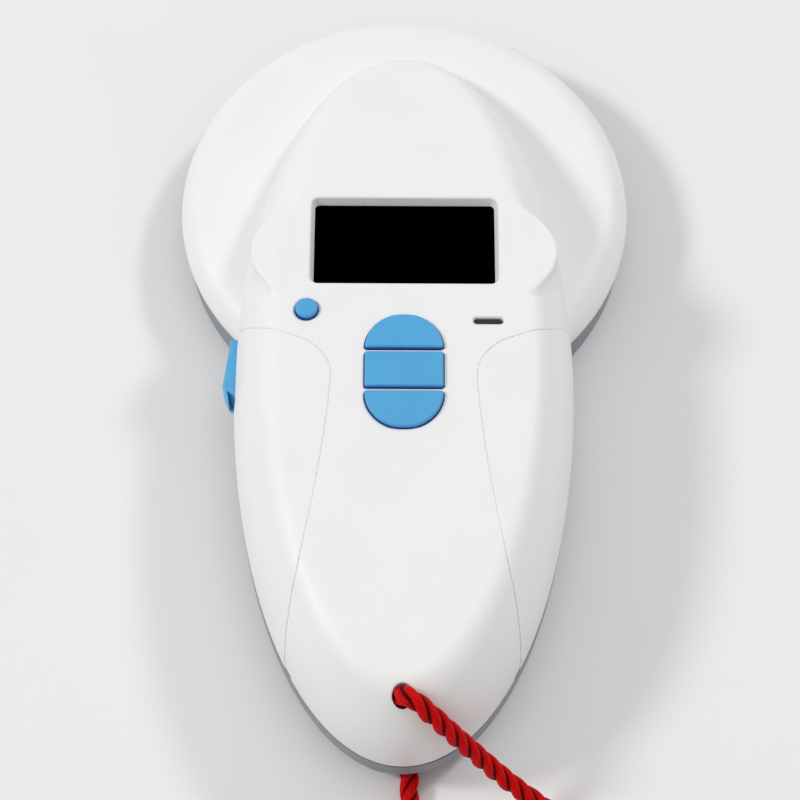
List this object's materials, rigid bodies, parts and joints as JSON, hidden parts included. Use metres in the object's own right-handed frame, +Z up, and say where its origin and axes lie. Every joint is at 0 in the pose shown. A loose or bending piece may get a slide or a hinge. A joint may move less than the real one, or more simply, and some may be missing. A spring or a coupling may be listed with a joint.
{
  "type": "microchip scanner",
  "caption": "Handheld reader for animal identification microchips: round antenna head, oval handle, display window, blue keys, side trigger and a red wrist lanyard.",
  "frame": {"origin": "on the resting plane, under the centre of the case's box, lanyard not counted", "axes": "+Z up, out of the display and keys; +Y towards the round antenna head; +X to the user's right when the display is read"},
  "size_m": [0.1075, 0.2749, 0.0353],
  "materials": {
    "shell_white": "fine satin moulded ABS",
    "shell_grey": "fine satin moulded ABS",
    "seal_rubber": "matt rubber cord",
    "window_black": "polished acrylic, printed black on its back",
    "foam_black": "closed-cell foam",
    "display_glass": "display glass in a black frame",
    "flex_amber": "polyimide ribbon",
    "key_blue": "satin moulded plastic",
    "mat_silicone": "translucent silicone",
    "lens_smoke": "smoked light pipe",
    "led_amber": "moulded lamp",
    "board_green": "solder mask on glass epoxy",
    "chip_black": "moulded epoxy",
    "former_ivory": "natural nylon",
    "copper_wire": "enamelled copper winding",
    "cell_sleeve": "shrink sleeve",
    "tray_dark": "moulded ABS",
    "steel": "plated steel",
    "cord_red": "three-strand twisted nylon"
  },
  "bodies": {
    "case": {"top_cover": "shell_white", "bottom_cover": "shell_grey", "grip_left": "shell_white", "grip_right": "shell_white", "case_seal": "seal_rubber", "display_window": "window_black", "display_gasket": "foam_black", "display_module": "display_glass", "display_flex": "flex_amber", "keypad_mat": "mat_silicone", "tact_switches": "steel", "indicator_lens": "lens_smoke", "indicator_led": "led_amber", "main_board": "board_green", "processor_chip": "chip_black", "radio_chip": "chip_black", "buzzer": "chip_black", "coil_former": "former_ivory", "antenna_coil": "copper_wire", "antenna_leads": "copper_wire", "trigger_pin": "steel", "trigger_switch": "chip_black", "battery_cells": "cell_sleeve", "battery_tray": "tray_dark", "battery_springs": "steel", "battery_contacts": "steel", "case_screws": "steel", "board_screws": "steel", "lanyard_cord": "cord_red", "lanyard_knot": "cord_red"},
    "power_button": {"power_button": "key_blue"},
    "up_key": {"up_key": "key_blue"},
    "ok_key": {"ok_key": "key_blue"},
    "down_key": {"down_key": "key_blue"},
    "trigger": {"trigger_lever": "key_blue"},
    "battery_door": {"battery_door": "shell_grey"}
  },
  "joints": [
    {"name": "power_press", "type": "slide", "parent": "case", "child": "power_button", "axis": [0, 0, -1], "range_m": [0, 0.0007], "stiffness_N_per_m": 800},
    {"name": "up_press", "type": "slide", "parent": "case", "child": "up_key", "axis": [0, 0, -1], "range_m": [0, 0.0007], "stiffness_N_per_m": 800},
    {"name": "ok_press", "type": "slide", "parent": "case", "child": "ok_key", "axis": [0, 0, -1], "range_m": [0, 0.0007], "stiffness_N_per_m": 800},
    {"name": "down_press", "type": "slide", "parent": "case", "child": "down_key", "axis": [0, 0, -1], "range_m": [0, 0.0007], "stiffness_N_per_m": 800},
    {"name": "trigger_pull", "type": "hinge", "parent": "case", "child": "trigger", "pos_m": [-0.0304, -0.0004, 0.0165], "axis": [0, 0, 1], "range_deg": [0, 5], "stiffness_Nm_per_rad": 0.45},
    {"name": "door_slide", "type": "slide", "parent": "case", "child": "battery_door", "axis": [0, -1, 0], "range_m": [0, 0.006]}
  ]
}
